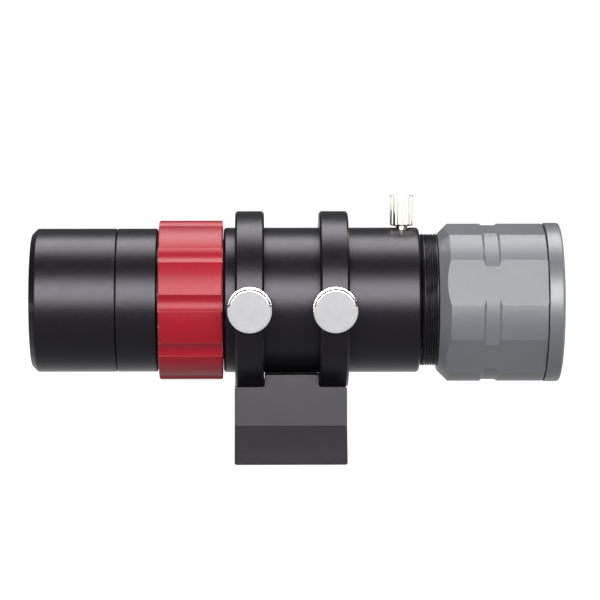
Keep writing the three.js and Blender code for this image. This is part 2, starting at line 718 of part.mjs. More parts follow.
const sensor = box(SENSOR.front, SENSOR.rear, 0, 0, SENSOR.width, SENSOR.height);
addPiece(optics, 'sensor_window', rod(WINDOW.front, WINDOW.rear, WINDOW.radius, MEDIUM), OPTICAL_GLASS);
addPiece(optics, 'sensor_holder', sensorHolder(), BLACK_PLASTIC);
addPiece(optics, 'image_sensor', sensor, SILICON);
addPiece(housing, 'sensor_board', circuitBoard(SENSOR_BOARD_FRONT), CIRCUIT_BOARD);
addPiece(housing, 'main_board', circuitBoard(MAIN_BOARD_FRONT), CIRCUIT_BOARD);
standoffAngles.forEach((angle, i) => {
  addPiece(housing, `standoff_${i + 1}`, atStandoff(standoff(), angle), BRASS);
  addPiece(housing, `cover_screw_${i + 1}`, atStandoff(coverScrew(), angle), BLACK_STEEL);
});
addPiece(housing, 'usb_port', usbPort(), TURNED_STEEL);
addPiece(housing, 'guide_port', guidePort(), BLACK_PLASTIC);

export default scope;
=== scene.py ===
# A finder scope: turned and anodised pieces, two clamp rings on a dovetail base, and a camera in the rear
# socket. Lengths in this script are millimetres until a mesh is made. Every piece keeps the frame's place.
import json
import math

import bmesh
import bpy
from mathutils import Matrix, Vector

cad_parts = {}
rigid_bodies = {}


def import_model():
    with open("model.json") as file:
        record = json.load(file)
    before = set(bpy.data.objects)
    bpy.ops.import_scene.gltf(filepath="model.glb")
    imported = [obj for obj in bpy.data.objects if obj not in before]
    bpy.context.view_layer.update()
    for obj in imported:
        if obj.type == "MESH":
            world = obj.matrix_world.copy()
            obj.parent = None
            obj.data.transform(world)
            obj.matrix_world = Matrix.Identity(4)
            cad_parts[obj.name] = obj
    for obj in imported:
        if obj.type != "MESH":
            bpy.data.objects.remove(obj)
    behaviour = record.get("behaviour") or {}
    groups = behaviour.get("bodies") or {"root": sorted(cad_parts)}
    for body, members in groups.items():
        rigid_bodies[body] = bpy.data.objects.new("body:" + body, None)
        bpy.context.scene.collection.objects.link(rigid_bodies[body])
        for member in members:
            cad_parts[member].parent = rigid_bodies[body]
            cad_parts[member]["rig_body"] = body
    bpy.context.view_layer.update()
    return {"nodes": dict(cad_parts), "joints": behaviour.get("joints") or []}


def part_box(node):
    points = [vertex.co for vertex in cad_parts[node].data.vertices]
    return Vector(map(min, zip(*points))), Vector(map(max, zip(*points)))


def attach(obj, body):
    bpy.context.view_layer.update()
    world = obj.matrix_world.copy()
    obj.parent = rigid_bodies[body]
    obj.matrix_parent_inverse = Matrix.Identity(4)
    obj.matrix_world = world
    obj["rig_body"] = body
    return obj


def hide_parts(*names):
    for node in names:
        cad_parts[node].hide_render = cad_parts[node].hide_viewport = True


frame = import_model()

MM = 0.001


# ---------- Places and sizes from the frame ----------

def joint(name):
    return next(j for j in frame["joints"] if j["name"] == name)


AXIS_Z = joint("tube_turn")["pos_m"][2] / MM


def extent(node):
    """A node's lowest and highest x, and half its width across Y, in millimetres."""
    low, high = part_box(node)
    return low.x / MM, high.x / MM, (high.y - low.y) / 2 / MM


def body_of(node):
    return frame["nodes"][node]["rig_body"]


# Sizes inside or across a node, which its box doesn't give. They match the CAD solids.
SHIELD_BORE_R = 19.6
SHIELD_CHAMFER = 1.8
CELL_FRONT = -54.6
CELL_REAR = -42.0
DRAW_TUBE_R = 19.2
DRAW_BORE_R = 17.4
LENS_SEAT_R = 16.3
LENS_STOP_R = 15.0
LENS_STOP = (-47.0, -45.6)
LOCK_RING_R = 25.2
LOCK_BORE_R = 19.6
WASHER_RECESS = (-22.3, 22.1)
FLUTE_COUNT = 10
FLUTE_START = math.radians(3.5)
FLUTE_R = 5.5
FLUTE_FLOOR_R = 24.4
FOCUS_BORE_R = 19.6
FOCUS_BORE_END = 10.2
SOCKET_R = 16.15
SPOT_FACE = (22.35, 4.0)
RING_BORE_R = 23.3
RING_SEAT_Z = 24.05
NOSE_BORE_R = 14.2
NOSE_SPIGOT = (40.8, 12.4, 10.8)
ADAPTER_SPIGOT = (46.0, 15.7, 12.7)
CAMERA_NOSE_R = 21.6
CAMERA_R = 25.0
CAMERA_DROP = 0.8
CAMERA_WALL_REAR = 49.1
CAMERA_CAVITY_R = 21.3
CAMERA_HOLE_R = 16.0
FLAT_COUNT = 6
FLAT_APOTHEM = 23.9
FLAT_START = math.radians(20.4)
GROOVE = (59.8, 60.5, 64.7, 65.4)
GROOVE_FLOOR_R = 24.46
COVER_FRONT = 80.2
COVER_SPIGOT_R = 21.0
COVER_RECESS = (82.3, 19.4)
COVER_SEAT_R = 2.6
COVER_SEAT_FRONT = 83.8
NECK_Z = 11.6
FOOT_LAND = 1.2
FOOT_HALF_WIDTH = 16.5
BLOCK_HALF_WIDTH = 10.75
BLOCK_TOP_HALF_WIDTH = 9.75
SHOULDER_Z = 23.75
TAB = (-8.2, 8.75)
TAB_ROOT_R = 0.8
SCREW_R = 2.0
SCREW_HOLE_R = 2.3
BOLT_HOLE_R = 1.8
BOLT_SEAT = (14.3, 3.05)
TAPPED_TO_Z = 26.4
CLAMP_HEAD = (28.9, 34.9, 6.85)
THUMB_HEAD = (23.7, 33.3, 3.9)
USB_OPENING = (8.6, 7.5)
GUIDE_OPENING = (9.7, 6.8, 9.2)
GUIDE_KEY = (3.4, 1.4)

# Fine detail that only the visible pieces have
EDGE = 0.22
FINE_SEGMENTS = 180
FOCUS_PITCH = 1.0
ADAPTER_PITCH = 0.75
SCREW_PITCH = 0.7


# ---------- Meshes ----------

def rounded(points, closed=True, steps=4):
    """Rounds each corner (x, r, radius) of a profile; a corner without a radius stays sharp."""
    result = []
    count = len(points)
    for i, point in enumerate(points):
        corner = Vector(point[:2])
        size = point[2] if len(point) > 2 else 0.0
        at_end = not closed and i in (0, count - 1)
        if size == 0.0 or at_end:
            result.append(tuple(corner))
            continue
        before = Vector(points[i - 1][:2]) - corner
        after = Vector(points[(i + 1) % count][:2]) - corner
        reach = min(size, 0.42 * before.length, 0.42 * after.length)
        start = corner + before.normalized() * reach
        end = corner + after.normalized() * reach
        result.append(tuple(start + before.normalized() * reach * 0.15))
        for step in range(steps + 1):
            t = step / steps
            arc = start * (1 - t) ** 2 + corner * 2 * t * (1 - t) + end * t * t
            result.append(tuple(arc))
        result.append(tuple(end + after.normalized() * reach * 0.15))
    return result


def revolve(profile, segments=FINE_SEGMENTS, shape=None, start=0.0):
    """Turns a profile of (x, r) about X. shape(x, r, angle) may change the radius. Angle 0 is -Y."""
    closed = profile[0][1] > 0
    vertices, faces, rows = [], [], []
    for x, r in profile:
        if r <= 1e-9:
            rows.append([len(vertices)] * segments)
            vertices.append((x, 0.0, 0.0))
            continue
        rows.append(list(range(len(vertices), len(vertices) + segments)))
        for i in range(segments):
            angle = start + 2 * math.pi * i / segments
            radius = shape(x, r, angle) if shape else r
            vertices.append((x, -math.cos(angle) * radius, math.sin(angle) * radius))
    pairs = list(zip(rows, rows[1:] + rows[:1])) if closed else list(zip(rows, rows[1:]))
    for low, high in pairs:
        for i in range(segments):
            j = (i + 1) % segments
            corners = [low[i], low[j], high[j], high[i]]
            faces.append(list(dict.fromkeys(corners)))
    return vertices, [face for face in faces if len(face) > 2]


def make_mesh(name, vertices, faces):
    mesh = bpy.data.meshes.new(name)
    mesh.from_pydata([tuple(c * MM for c in v) for v in vertices], [], faces)
    build = bmesh.new()
    build.from_mesh(mesh)
    bmesh.ops.remove_doubles(build, verts=build.verts, dist=1e-3 * MM)
    bmesh.ops.dissolve_degenerate(build, dist=1e-4 * MM, edges=build.edges)
    bmesh.ops.recalc_face_normals(build, faces=build.faces)
    build.to_mesh(mesh)
    build.free()
    obj = bpy.data.objects.new(name, mesh)
    bpy.context.scene.collection.objects.link(obj)
    return obj


def apply_modifiers(obj):
    bpy.context.view_layer.objects.active = obj
    obj.select_set(True)
    for modifier in list(obj.modifiers):
        bpy.ops.object.modifier_apply(modifier=modifier.name)
    obj.select_set(False)


def carve(obj, *tools, operation="DIFFERENCE"):
    """Cuts tool objects out of obj, or keeps only what they share, and deletes the tools."""
    for tool in tools:
        modifier = obj.modifiers.new("cut", "BOOLEAN")
        modifier.object = tool
        modifier.operation = operation
        modifier.solver = "EXACT"
    apply_modifiers(obj)
    for tool in tools:
        bpy.data.objects.remove(tool)
    return obj


def bevel(obj, width=EDGE, segments=3, edge_slot=-1):
    modifier = obj.modifiers.new("edges", "BEVEL")
    modifier.width = width * MM
    modifier.segments = segments
    modifier.limit_method = "ANGLE"
    modifier.angle_limit = math.radians(35)
    modifier.material = edge_slot
    apply_modifiers(obj)
    return obj


def keep_flats_flat(obj):
    """Weights the shading normals by face area, so that a bevel doesn't bend the shading of a large face."""
    modifier = obj.modifiers.new("flats", "WEIGHTED_NORMAL")
    modifier.mode = "FACE_AREA"
    modifier.weight = 100
    modifier.keep_sharp = True
    apply_modifiers(obj)
    return obj


def prism(outline, axis, half):
    """An outline of (u, z) points extruded both ways along X, with u as Y, or along Y, with u as X."""
    count = len(outline)
    vertices = []
    for level in (-half, half):
        vertices += [(level, u, z) if axis == "X" else (u, level, z) for u, z in outline]
    faces = [list(range(count)), list(range(2 * count - 1, count - 1, -1))]
    faces += [(i, (i + 1) % count, (i + 1) % count + count, i + count) for i in range(count)]
    return make_mesh("prism", vertices, faces)


def rod_tool(front, rear, radius, segments=64):
    profile = [(front, 0.0), (front, radius), (rear, radius), (rear, 0.0)]
    return make_mesh("tool", *revolve(profile, segments))


def block(name, low, high):
    """A box from its lowest to its highest corner."""
    xs, ys, zs = zip(low, high)
    vertices = [(x, y, z) for x in xs for y in ys for z in zs]
    faces = [(0, 1, 3, 2), (4, 6, 7, 5), (0, 4, 5, 1), (2, 3, 7, 6), (0, 2, 6, 4), (1, 5, 7, 3)]
    return make_mesh(name, vertices, faces)


CAMERA_Z = AXIS_Z - CAMERA_DROP
ON_AXIS = Matrix.Translation((0, 0, AXIS_Z * MM))
IN_CAMERA = Matrix.Translation((0, 0, CAMERA_Z * MM))


def along(direction, x):
    """The place of a piece made along +X from the optical axis, pointing in another direction."""
    turn = Vector((1, 0, 0)).rotation_difference(Vector(direction)).to_matrix().to_4x4()
    return Matrix.Translation((x * MM, 0, AXIS_Z * MM)) @ turn


def bake_place(obj, place):
    """Moves a cutting tool by changing its mesh, in the frame of a piece on the optical axis."""
    obj.data.transform(ON_AXIS.inverted() @ place)
    return obj


def finish_piece(obj, material, node, place=ON_AXIS, sharp=32, replaces=True):
    """Puts a piece in place, shades it, ties it to the body of a CAD node, and hides that node when it
    replaces it.
    """
    obj.matrix_world = place
    for polygon in obj.data.polygons:
        polygon.use_smooth = True
    obj.data.set_sharp_from_angle(angle=math.radians(sharp))
    obj.data.materials.clear()
    obj.data.materials.append(material)
    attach(obj, body_of(node))
    if replaces:
        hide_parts(node)
    return obj


def second_material(obj, material, faces):
    obj.data.materials.append(material)
    for index in faces:
        obj.data.polygons[index].material_index = 1


# ---------- Materials ----------

class Graph:
    """A material with a Principled shader, and short calls for the nodes that feed it."""

    def __init__(self, name, **values):
        self.material = bpy.data.materials.new(name)
        self.material.use_nodes = True
        self.nodes = self.material.node_tree.nodes
        self.nodes.clear()
        self.shader = self.nodes.new("ShaderNodeBsdfPrincipled")
        output = self.nodes.new("ShaderNodeOutputMaterial")
        self.join(self.shader.outputs[0], output.inputs["Surface"])
        for socket, value in values.items():
            self.shader.inputs[socket.replace("_", " ")].default_value = value
        self.place = self.nodes.new("ShaderNodeTexCoord").outputs["Object"]

    def join(self, output, target):
        self.material.node_tree.links.new(output, target)

    def feed(self, node, index, value):
        if isinstance(value, bpy.types.NodeSocket):
            self.join(value, node.inputs[index])
        else:
            node.inputs[index].default_value = value

    def math(self, operation, *values, clamp=False):
        node = self.nodes.new("ShaderNodeMath")
        node.operation = operation
        node.use_clamp = clamp
        for index, value in enumerate(values):
            self.feed(node, index, value)
        return node.outputs[0]

    def scaled(self, vector, scale):
        node = self.nodes.new("ShaderNodeVectorMath")
        node.operation = "MULTIPLY"
        self.feed(node, 0, vector)
        self.feed(node, 1, scale)
        return node.outputs[0]

    def around_axis(self, x_scale, r_scale, turn_scale):
        """x, distance from the piece's own X axis, and angle round it, each with its own scale."""
        parts = self.nodes.new("ShaderNodeSeparateXYZ")
        self.join(self.place, parts.inputs[0])
        y, z = parts.outputs[1], parts.outputs[2]
        squares = self.math("ADD", self.math("MULTIPLY", y, y), self.math("MULTIPLY", z, z))
        combined = self.nodes.new("ShaderNodeCombineXYZ")
        self.join(self.math("MULTIPLY", parts.outputs[0], x_scale), combined.inputs[0])
        self.join(self.math("MULTIPLY", self.math("SQRT", squares), r_scale), combined.inputs[1])
        self.join(self.math("MULTIPLY", self.math("ARCTAN2", z, y), turn_scale), combined.inputs[2])
        return combined.outputs[0]

    def noise(self, vector, scale, detail=3.0, roughness=0.55):
        node = self.nodes.new("ShaderNodeTexNoise")
        self.join(vector, node.inputs["Vector"])
        node.inputs["Scale"].default_value = scale
        node.inputs["Detail"].default_value = detail
        node.inputs["Roughness"].default_value = roughness
        return node.outputs["Fac"]

    def spread(self, value, low, high, low_in=0.3, high_in=0.7):
        """Maps a value that mostly lies between low_in and high_in to between low and high."""
        node = self.nodes.new("ShaderNodeMapRange")
        self.join(value, node.inputs["Value"])
        node.inputs["From Min"].default_value = low_in
        node.inputs["From Max"].default_value = high_in
        node.inputs["To Min"].default_value = low
        node.inputs["To Max"].default_value = high
        return node.outputs["Result"]

    def blend(self, amount, first, second):
        node = self.nodes.new("ShaderNodeMix")
        node.data_type = "RGBA"
        self.feed(node, 0, amount)
        self.feed(node, 6, (*first, 1.0) if isinstance(first, tuple) else first)
        self.feed(node, 7, (*second, 1.0) if isinstance(second, tuple) else second)
        return node.outputs[2]

    def edge_highlight_mask(self, low=0.519, high=0.532):
        """Near 1 on the convex edges of a fine mesh, near 0 elsewhere: the mask of a painted edge highlight.
        """
        geometry = self.nodes.new("ShaderNodeNewGeometry")
        return self.spread(geometry.outputs["Pointiness"], 0.0, 1.0, low, high)

    def bump(self, height, strength, distance, below=None):
        node = self.nodes.new("ShaderNodeBump")
        node.inputs["Strength"].default_value = strength
        node.inputs["Distance"].default_value = distance
        self.join(height, node.inputs["Height"])
        if below is not None:
            self.join(below, node.inputs["Normal"])
        return node.outputs["Normal"]

    def set(self, socket, output):
        self.join(output, self.shader.inputs[socket])


def anodised(name, colour, edge_highlight_colour, roughness, turned=True, grain=0.35, **values):
    """Anodised aluminium: bead-blasted grain, faint lathe lines, uneven dye, and convex edges painted paler
    as a highlight.
    """
    g = Graph(name, **values)
    mottle = g.noise(g.place, 70.0, 3.0)
    speckle = g.noise(g.place, 4200.0, 2.0)
    darker = tuple(c * 0.95 for c in colour)
    lighter = tuple(c * 1.05 for c in colour)
    dyed = g.blend(g.spread(mottle, 0.0, 1.0), darker, lighter)
    flecked = g.blend(g.spread(speckle, 0.0, 0.35, 0.5, 0.75), dyed, tuple(min(1.0, c * 1.5) for c in colour))
    # Convex edges painted towards the paler edge colour, broken up by noise: a painted highlight.
    edge = g.math("MULTIPLY", g.edge_highlight_mask(), g.spread(g.noise(g.place, 900.0), 0.25, 0.8))
    g.set("Base Color", g.blend(edge, flecked, edge_highlight_colour))
    g.set("Roughness", g.spread(g.noise(g.place, 620.0, 4.0), roughness - 0.03, roughness + 0.03))
    normal = g.bump(g.noise(g.place, 3600.0, 3.0, 0.7), grain, 0.00004)
    if turned:
        lines = g.noise(g.around_axis(9000.0, 9000.0, 0.6), 1.0, 2.0)
        normal = g.bump(lines, 0.10, 0.00003, normal)
    g.set("Normal", normal)
    return g.material


def bright_metal(name, colour, roughness, line_scale=12000.0, line_strength=0.12, spread=0.045, **values):
    """Bare or plated metal with turning lines, faint stains and fine scratches."""
    g = Graph(name, Metallic=1.0, **values)
    stain = g.noise(g.place, 260.0, 4.0)
    g.set("Base Color", g.blend(g.spread(stain, 0.0, 1.0), tuple(c * 0.93 for c in colour), colour))
    g.set("Roughness", g.spread(g.noise(g.place, 1500.0), roughness - spread, roughness + spread))
    lines = g.noise(g.around_axis(line_scale, line_scale, 0.8), 1.0, 2.0)
    scratches = g.noise(g.scaled(g.place, (300.0, 5200.0, 800.0)), 1.0, 2.0)
    g.set("Normal", g.bump(scratches, 0.04, 0.00002, g.bump(lines, line_strength, 0.00002)))
    return g.material


def plastic(name, colour, roughness, grain_scale=2600.0, **values):
    """Moulded plastic with a fine matt texture and slight colour variation."""
    g = Graph(name, **values)
    tone = g.noise(g.place, 300.0, 3.0)
    g.set("Base Color", g.blend(g.spread(tone, 0.0, 1.0), tuple(c * 0.86 for c in colour), colour))
    g.set("Roughness", g.spread(g.noise(g.place, 900.0), roughness - 0.05, roughness + 0.05))
    g.set("Normal", g.bump(g.noise(g.place, grain_scale, 3.0), 0.3, 0.00004))
    return g.material


def coated_glass(name, coat_colour):
    """Optical glass with a thin coating that shows in its reflections, and a trace of dust."""
    g = Graph(name, Roughness=0.02, IOR=1.52, Transmission_Weight=1.0, Coat_Weight=0.6, Coat_Roughness=0.03)
    g.shader.inputs["Coat Tint"].default_value = (*coat_colour, 1.0)
    g.shader.inputs["Specular Tint"].default_value = (*coat_colour, 1.0)
    dust = g.noise(g.place, 2400.0, 4.0)
    g.set("Base Color", g.blend(g.spread(dust, 0.0, 0.2, 0.62, 0.8), (0.93, 0.97, 0.95), (0.7, 0.72, 0.7)))
    g.set("Roughness", g.spread(dust, 0.015, 0.12, 0.6, 0.85))
    return g.material


def circuit_board(name):
    """Green solder mask with copper tracks showing through it."""
    g = Graph(name, Roughness=0.35, Coat_Weight=0.3)
    tracks = g.nodes.new("ShaderNodeTexBrick")
    g.join(g.scaled(g.place, (1.0, 900.0, 900.0)), tracks.inputs["Vector"])
    tracks.inputs["Scale"].default_value = 1.0
    lines = g.math("GREATER_THAN", tracks.outputs["Fac"], 0.5)
    g.set("Base Color", g.blend(lines, (0.012, 0.11, 0.05), (0.03, 0.2, 0.09)))
    g.set("Roughness", g.spread(g.noise(g.place, 1200.0), 0.3, 0.45))
    g.set("Normal", g.bump(lines, 0.3, 0.00004))
    return g.material


BLACK = anodised("black_anodised", (0.0009, 0.0008, 0.0013), (0.012, 0.0117, 0.0135), 0.31, grain=0.8,
                 IOR=1.215,
                 Specular_Tint=(0.96, 0.9, 1.0, 1.0))
BLACK_CAST = anodised("black_anodised_milled", (0.0013, 0.0012, 0.0017), (0.0022, 0.0021, 0.0027), 0.31,
                      turned=False, grain=1.0, IOR=1.22, Specular_Tint=(0.96, 0.9, 1.0, 1.0))
# Paler black for the base's bevel faces: a painted highlight along its edges.
BLACK_EDGE_HIGHLIGHT = anodised("black_anodised_painted_highlight", (0.036, 0.035, 0.038), (0.05, 0.049, 0.052), 0.36, turned=False,
                      grain=1.0, IOR=1.22)
MATT_BLACK = anodised("black_inside", (0.002, 0.002, 0.002), (0.006, 0.006, 0.006), 0.7, IOR=1.2)
RED = anodised("red_anodised", (0.067, 0.0016, 0.004), (0.2, 0.05, 0.055), 0.34, grain=0.6, IOR=1.225,
               Specular_Tint=(1.0, 0.55, 0.58, 1.0))
GREY = anodised("grey_anodised", (0.0298, 0.0306, 0.034), (0.06, 0.062, 0.067), 0.4, grain=0.6, IOR=1.29)
GREY_TURNED = anodised("grey_anodised_turned", (0.025, 0.0258, 0.0288), (0.09, 0.093, 0.1), 0.37, grain=0.4,
                       IOR=1.35)
STEEL = bright_metal("turned_steel", (0.53, 0.53, 0.54), 0.08, spread=0.02)
NICKEL = bright_metal("nickel_plate", (0.84, 0.82, 0.745), 0.1, line_strength=0.04, spread=0.02)
DARK_STEEL = bright_metal("blackened_steel", (0.09, 0.09, 0.095), 0.42)
BRASS = bright_metal("brass", (0.78, 0.56, 0.25), 0.28)
GOLD = bright_metal("gold_contacts", (0.9, 0.65, 0.28), 0.25)
NYLON = plastic("nylon", (0.75, 0.72, 0.64), 0.5, Subsurface_Weight=0.1)
BLACK_PLASTIC = plastic("black_plastic", (0.014, 0.014, 0.015), 0.5)
GLASS = coated_glass("coated_glass", (0.62, 0.9, 0.78))
BOARD = circuit_board("solder_mask")
SILICON = plastic("sensor_die", (0.03, 0.035, 0.06), 0.15, Metallic=0.4, Coat_Weight=0.8)


# ---------- Threads, flutes and knurls ----------

def thread(pitch, depth, low, high):
    """A right-handed thread between two x: a radius function for revolve."""
    def radius(x, r, angle):
        if not low < x < high:
            return r
        phase = (x / pitch + angle / (2 * math.pi)) % 1.0
        valley = 1 - abs(2 * phase - 1)
        fade = min(1.0, (x - low) / pitch * 2, (high - x) / pitch * 2)
        return r - depth * fade * min(1.0, max(0.0, 1.3 * valley - 0.15))
    return radius


def thread_rows(low, high, r, pitch, per_turn=10):
    """Profile points close enough together to carry a thread."""
    count = round((high - low) / pitch * per_turn)
    return [(low + (high - low) * i / count, r) for i in range(count + 1)]


def fluted(count, start, tool_r, floor_r, softness):
    """Concave flutes cut by a round tool, for radii near the outside of a piece."""
    centre = floor_r + tool_r

    def radius(x, r, angle):
        turn = (angle - start + math.pi / count) % (2 * math.pi / count) - math.pi / count
        off = centre * math.sin(turn)
        if abs(off) >= tool_r:
            return r
        cut = centre * math.cos(turn) - math.sqrt(tool_r ** 2 - off ** 2)
        gap = max(0.0, softness - abs(r - cut)) / softness
        return min(r, cut) - gap * gap * softness / 4
    return radius


def knurled(teeth, depth, low, high):
    """Straight knurling between two x."""
    def radius(x, r, angle):
        if not low <= x <= high:
            return r
        return r - depth * abs(math.sin(angle * teeth / 2)) ** 1.4
    return radius


# ---------- Objective end ----------

def dew_shield():
    front, rear, outer = extent("dew_shield")
    bore = SHIELD_BORE_R
    ribs_low, ribs_high = front + 3.0, rear - 7.0
    rib = thread(1.0, -0.3, ribs_low, ribs_high)
    profile = rounded([
        (front, bore + 0.5, 0.15),
        (front, outer - SHIELD_CHAMFER, 0.3),
        (front + SHIELD_CHAMFER, outer, 0.5),
        (rear - 0.15, outer, 0.05),
        (rear, outer - 0.15, 0.05),
        (rear, bore, 0.1),
    ], closed=True)
    inside = list(reversed(thread_rows(ribs_low, ribs_high, bore, 1.0, 8)))
    profile += inside + [(front + 0.5, bore)]
    shape = lambda x, r, a: rib(x, r, a) if r < bore + 0.01 else r
    finish_piece(make_mesh("dew_shield_shell", *revolve(profile, shape=shape)), BLACK, "dew_shield")


def lens_cell():
    front, rear, outer = extent("lens_cell")
    spigot, bore = DRAW_TUBE_R, DRAW_BORE_R
    thread_end = CELL_REAR + 26.0
    turns = thread(FOCUS_PITCH, 0.42, CELL_REAR + 0.6, thread_end)
    profile = rounded([
        (front, LENS_SEAT_R, 0.1),
        (front, spigot, 0.2),
        (CELL_FRONT, spigot),
        (CELL_FRONT, outer - 0.15, 0.05),
        (CELL_FRONT + 0.15, outer, 0.05),
        (CELL_REAR - 0.3, outer, 0.1),
        (CELL_REAR, outer - 0.3, 0.1),
        (CELL_REAR, spigot),
    ], closed=True)
    profile += thread_rows(CELL_REAR + 0.6, thread_end, spigot, FOCUS_PITCH, 8)
    profile += rounded([
        (thread_end + 0.1, spigot),
        (rear, spigot, 0.4),
        (rear, bore, 0.2),
        (LENS_STOP[1] + 1.0, bore, 0.2),
        (LENS_STOP[1], LENS_STOP_R, 0.1),
        (LENS_STOP[0], LENS_STOP_R, 0.1),
        (LENS_STOP[0], LENS_SEAT_R),
        (front + 0.01, LENS_SEAT_R),
    ], closed=False)
    shape = lambda x, r, a: turns(x, r, a) if r > bore + 1.0 else r
    finish_piece(make_mesh("focus_barrel_shell", *revolve(profile, shape=shape)), BLACK, "lens_cell")


def ground_arc(vertex, radius, edge_r, steps=14):
    """Points of a ground surface from the axis to its edge; a positive radius bulges forwards."""
    points = []
    for i in range(steps + 1):
        r = edge_r * i / steps
        sag = abs(radius) - math.sqrt(radius * radius - r * r)
        points.append((vertex + math.copysign(sag, radius), r))
    return points


def lenses():
    edge_r = extent("crown_lens")[2]
    crown = ground_arc(-56.8, 74.0, edge_r) + list(reversed(ground_arc(-50.8, -55.0, edge_r)))
    flint = ground_arc(-49.5, -57.0, edge_r) + [(-47.4, edge_r), (-47.4, 0.0)]
    finish_piece(make_mesh("crown_glass", *revolve(crown, 120)), GLASS, "crown_lens")
    finish_piece(make_mesh("flint_glass", *revolve(flint, 120)), GLASS, "flint_lens")
    front, rear, outer = extent("lens_retaining_ring")
    bore = 14.9
    profile = rounded([(front, bore, 0.3), (front, outer, 0.2), (rear, outer), (rear, bore, 0.2)])
    ring = make_mesh("retaining_ring", *revolve(profile, 120))
    slots = []
    for side in (-1, 1):
        low, high = sorted((side * (bore - 1), side * (outer + 1)))
        slots.append(block("tool", (front - 1, low, -0.6), (front + 0.9, high, 0.6)))
    finish_piece(carve(ring, *slots), MATT_BLACK, "lens_retaining_ring")


def lock_ring():
    front, rear, _ = extent("lock_ring")
    outer = LOCK_RING_R
    recess_x, recess_r = WASHER_RECESS
    profile = rounded([
        (front, LOCK_BORE_R, 0.2),
        (front, outer - 0.3, 0.08),
        (front + 0.3, outer, 0.08),
        (rear - 0.3, outer, 0.08),
        (rear, outer - 0.3, 0.08),
        (rear, recess_r, 0.1),
        (recess_x, recess_r),
        (recess_x, LOCK_BORE_R),
    ])
    flutes = fluted(FLUTE_COUNT, FLUTE_START, FLUTE_R, FLUTE_FLOOR_R, 0.04)
    shape = lambda x, r, a: flutes(x, r, a) if r > outer - 1.5 else r
    mesh = make_mesh("lock_ring_shell", *revolve(profile, 720, shape, FLUTE_START))
    finish_piece(mesh, RED, "lock_ring", sharp=18)


# ---------- Tube and rings ----------

def upright(tool, x):
    return bake_place(tool, along((0, 0, 1), x))


def main_tube():
    front, rear, outer = extent("main_tube")
    profile = rounded([
        (front, FOCUS_BORE_R, 0.2),
        (front, outer - 0.6, 0.12),
        (front + 0.6, outer, 0.2),
        (rear - 0.6, outer, 0.2),
        (rear, outer - 0.6, 0.12),
        (rear, SOCKET_R + 0.4, 0.1),
        (rear - 0.4, SOCKET_R, 0.1),
        (FOCUS_BORE_END, SOCKET_R),
        (FOCUS_BORE_END, FOCUS_BORE_R),
    ])
    tube = make_mesh("main_tube_shell", *revolve(profile, 240))
    screw_x = joint("socket_turn")["pos_m"][0] / MM
    floor, radius = SPOT_FACE
    seat = [(floor, 0.0), (floor, radius - 0.4), (outer + 0.6, radius + 0.25), (outer + 0.6, 0.0)]
    seat_tool = upright(make_mesh("tool", *revolve(seat, 96)), screw_x)
    hole_tool = upright(rod_tool(SOCKET_R - 4, outer + 2, SCREW_HOLE_R), screw_x)
    tube = finish_piece(carve(tube, seat_tool, hole_tool), BLACK, "main_tube")
    seat_faces = []
    for face in tube.data.polygons:
        x, y, z = face.center
        if math.hypot(x - screw_x * MM, y) < (radius + 0.3) * MM and z > (floor - 0.1) * MM:
            seat_faces.append(face.index)
    second_material(tube, MATT_BLACK, seat_faces)


def mounting_ring(node, clamp_joint):
    front, rear, outer = extent(node)
    centre = (front + rear) / 2
    profile = rounded([
        (front, RING_BORE_R, 0.15),
        (front, outer - 0.65, 0.1),
        (front + 0.65, outer, 0.15),
        (rear - 0.65, outer, 0.15),
        (rear, outer - 0.65, 0.1),
        (rear, RING_BORE_R, 0.15),
    ])
    ring = make_mesh(node + "_shell", *revolve(profile, 240))
    seat = RING_SEAT_Z - AXIS_Z
    below = block("tool", (front - 2, -outer, seat - 9), (rear + 2, outer, seat))
    clamp = along(joint(clamp_joint)["axis"], centre)
    hole = bake_place(rod_tool(RING_BORE_R - 3, outer + 3, SCREW_HOLE_R), clamp)
    sink = [(outer - 0.6, 0.0), (outer - 0.6, SCREW_HOLE_R - 0.2), (outer + 1.0, SCREW_HOLE_R + 1.2)]
    sink_tool = bake_place(make_mesh("tool", *revolve(sink + [(outer + 1.0, 0.0)], 64)), clamp)
    tapped = upright(rod_tool(seat - 3, TAPPED_TO_Z - AXIS_Z, BOLT_HOLE_R), centre)
    finish_piece(carve(ring, below, hole, sink_tool, tapped), BLACK, node)


# ---------- Dovetail base ----------

def arc_corner(x, z, radius, from_angle, turn=math.pi / 2, steps=6):
    """Points of an arc from an angle; a quarter turn counterclockwise unless told otherwise."""
    angles = [from_angle + turn * i / steps for i in range(steps + 1)]
    return [(x + radius * math.cos(a), z + radius * math.sin(a)) for a in angles]


